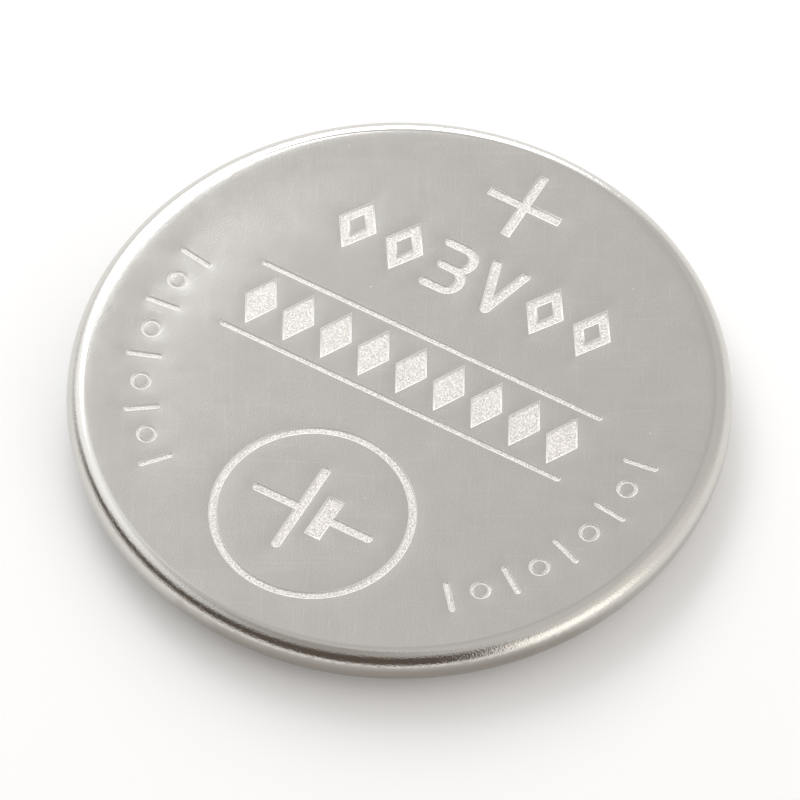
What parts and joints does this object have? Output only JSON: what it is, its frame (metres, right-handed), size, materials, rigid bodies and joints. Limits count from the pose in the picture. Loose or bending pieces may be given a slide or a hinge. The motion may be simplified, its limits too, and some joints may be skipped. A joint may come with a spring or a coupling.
{
  "type": "lithium coin cell",
  "caption": "Flat round lithium coin cell: a stamped steel can over a smaller negative cap, kept apart by a plastic seal, with the cathode, separator and lithium disc inside.",
  "frame": {"origin": "centre of the negative terminal's flat face, which is the cell's underside", "axes": "+Z along the cell's axis, out of the positive face; +Y towards the plus sign, which is the top of the stamped marks as they are read"},
  "size_m": [0.02, 0.02, 0.0016],
  "materials": {
    "can_steel": "satin rolled stainless steel with a bright rounded edge and finely frosted stamped marks",
    "cap_steel": "satin rolled stainless steel, slightly brighter at its rounded edge",
    "seal_plastic": "translucent natural polypropylene, smooth and slightly waxy",
    "lithium_metal": "soft rolled lithium foil, dull silver with faint roll lines",
    "separator_fibre": "white non-woven fibre sheet",
    "cathode_powder": "pressed manganese dioxide and graphite powder, charcoal with fine grain",
    "ring_steel": "thin drawn stainless steel, plain mill finish"
  },
  "bodies": {
    "root": {"positive_can": "can_steel", "negative_cap": "cap_steel", "seal": "seal_plastic", "lithium_disc": "lithium_metal", "separator": "separator_fibre", "cathode_pellet": "cathode_powder", "cathode_ring": "ring_steel"}
  },
  "joints": []
}
